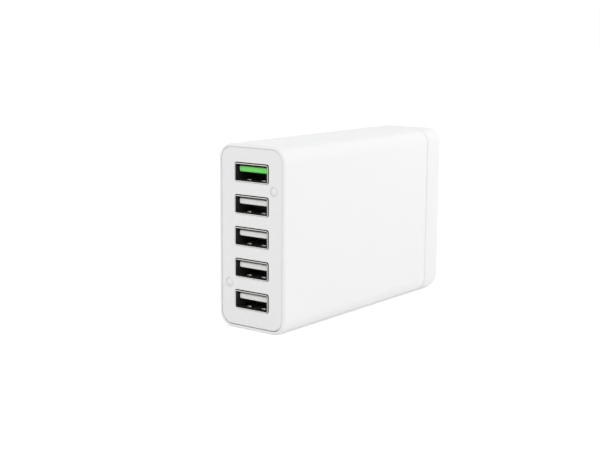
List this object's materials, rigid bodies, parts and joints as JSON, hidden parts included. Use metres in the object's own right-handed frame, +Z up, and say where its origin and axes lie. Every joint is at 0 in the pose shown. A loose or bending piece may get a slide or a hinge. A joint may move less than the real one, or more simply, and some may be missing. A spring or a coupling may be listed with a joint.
{
  "type": "usb desktop charger",
  "caption": "Upright white desktop charger with a vertical row of charging ports on its narrow front, one with a green tongue, and a figure-eight mains inlet behind.",
  "frame": {"origin": "centre of the footprint on the table, z = 0 at the underside", "axes": "+Z up, -Y out of the port panel, +Y out of the rear with the mains inlet, +X to the right seen from the front"},
  "size_m": [0.026, 0.0926, 0.058],
  "materials": {
    "casing_white": "fine satin moulded white",
    "panel_white": "smooth moulded off-white",
    "screw_steel": "plain zinc-plated steel",
    "connector_steel": "bright nickel-plated sheet",
    "contact_gold": "thin gold plating",
    "tongue_green": "bright green moulding",
    "tongue_white": "white moulding",
    "chip_black": "black moulding compound",
    "circuit_board": "green solder mask",
    "inlet_black": "black moulded plastic",
    "pin_nickel": "nickel plating",
    "optocoupler_white": "white moulding compound",
    "disc_blue": "dipped epoxy",
    "film_yellow": "moulded box",
    "ferrite": "dark sintered ferrite",
    "copper_wire": "lacquered copper wire",
    "tape_yellow": "polyester tape",
    "can_sleeve": "shrunk film sleeve",
    "can_aluminium": "drawn aluminium can",
    "sink_aluminium": "plain aluminium sheet",
    "pad_grey": "soft silicone pad",
    "film_clear": "polyester film"
  },
  "bodies": {
    "root": {"bridge_rectifier": "chip_black", "bulk_capacitor_1": "can_sleeve", "bulk_capacitor_2": "can_sleeve", "charge_controller_1": "chip_black", "charge_controller_2": "chip_black", "charge_controller_3": "chip_black", "charge_controller_4": "chip_black", "charge_controller_5": "chip_black", "front_panel": "panel_white", "fuse": "chip_black", "heat_spreader": "sink_aluminium", "inlet_body": "inlet_black", "inlet_pin_lower": "pin_nickel", "inlet_pin_upper": "pin_nickel", "insulating_sheet": "film_clear", "line_choke_core": "ferrite", "line_choke_winding_1": "copper_wire", "line_choke_winding_2": "copper_wire", "main_board": "circuit_board", "optocoupler": "optocoupler_white", "output_capacitor_1": "can_aluminium", "output_capacitor_2": "can_aluminium", "output_capacitor_3": "can_aluminium", "output_choke_core": "ferrite", "output_choke_winding": "copper_wire", "output_heat_sink": "sink_aluminium", "output_rectifier": "chip_black", "panel_screws": "screw_steel", "power_heat_sink": "sink_aluminium", "power_switch": "chip_black", "rear_cap": "casing_white", "screw_plug_1": "casing_white", "screw_plug_2": "casing_white", "sleeve": "casing_white", "switching_controller": "chip_black", "thermal_pad": "pad_grey", "transformer_bobbin": "chip_black", "transformer_core_lower": "ferrite", "transformer_core_upper": "ferrite", "transformer_winding": "tape_yellow", "usb_board": "circuit_board", "usb_contacts_1": "contact_gold", "usb_contacts_2": "contact_gold", "usb_contacts_3": "contact_gold", "usb_contacts_4": "contact_gold", "usb_contacts_5": "contact_gold", "usb_insulator_1": "tongue_green", "usb_insulator_2": "tongue_white", "usb_insulator_3": "tongue_white", "usb_insulator_4": "tongue_white", "usb_insulator_5": "tongue_white", "usb_shell_1": "connector_steel", "usb_shell_2": "connector_steel", "usb_shell_3": "connector_steel", "usb_shell_4": "connector_steel", "usb_shell_5": "connector_steel", "varistor": "disc_blue", "x_capacitor": "film_yellow", "y_capacitor": "disc_blue"}
  },
  "joints": []
}
